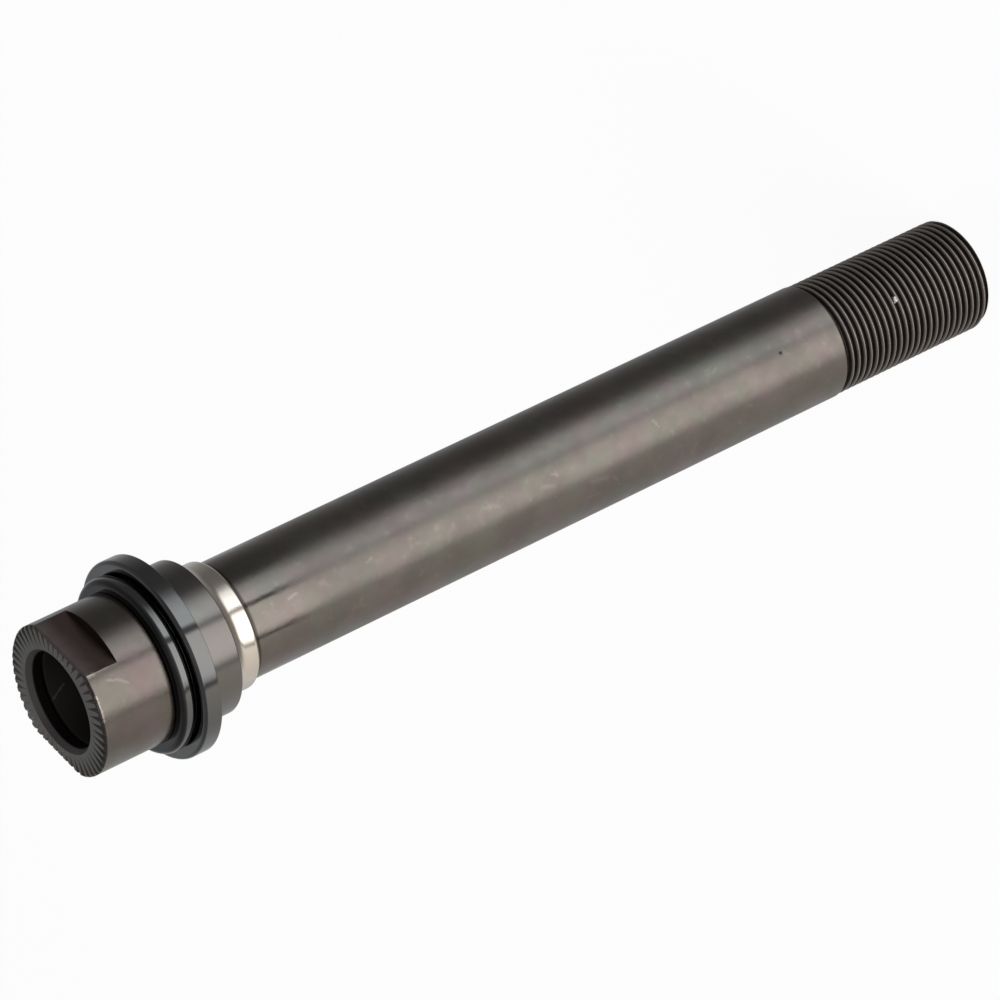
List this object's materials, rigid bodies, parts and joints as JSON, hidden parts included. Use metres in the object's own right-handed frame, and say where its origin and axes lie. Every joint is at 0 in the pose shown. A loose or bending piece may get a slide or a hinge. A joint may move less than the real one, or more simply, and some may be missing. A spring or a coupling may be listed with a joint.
{
  "type": "rear hub axle",
  "caption": "hollow steel rear hub axle for a through-axle, threaded at one end, with cone, dust cap and toothed locknut fitted at the other",
  "frame": {"origin": "centre of the threaded left-hand end face, on which the axle stands", "axes": "+Z runs along the axle from the threaded end to the toothed face of the locknut; +X is square to one wrench flat of the locknut; +Y completes the right-handed set"},
  "size_m": [0.025, 0.025, 0.1376],
  "materials": {
    "axle_steel": "blackened, satin",
    "cone_steel": "hardened dark collar, bright ground nose",
    "cap_steel": "glossy black plated",
    "locknut_steel": "blackened, satin"
  },
  "bodies": {
    "root": {"hub_axle": "axle_steel", "right_hand_cone": "cone_steel", "dust_cap": "cap_steel", "right_hand_locknut": "locknut_steel"}
  },
  "joints": []
}
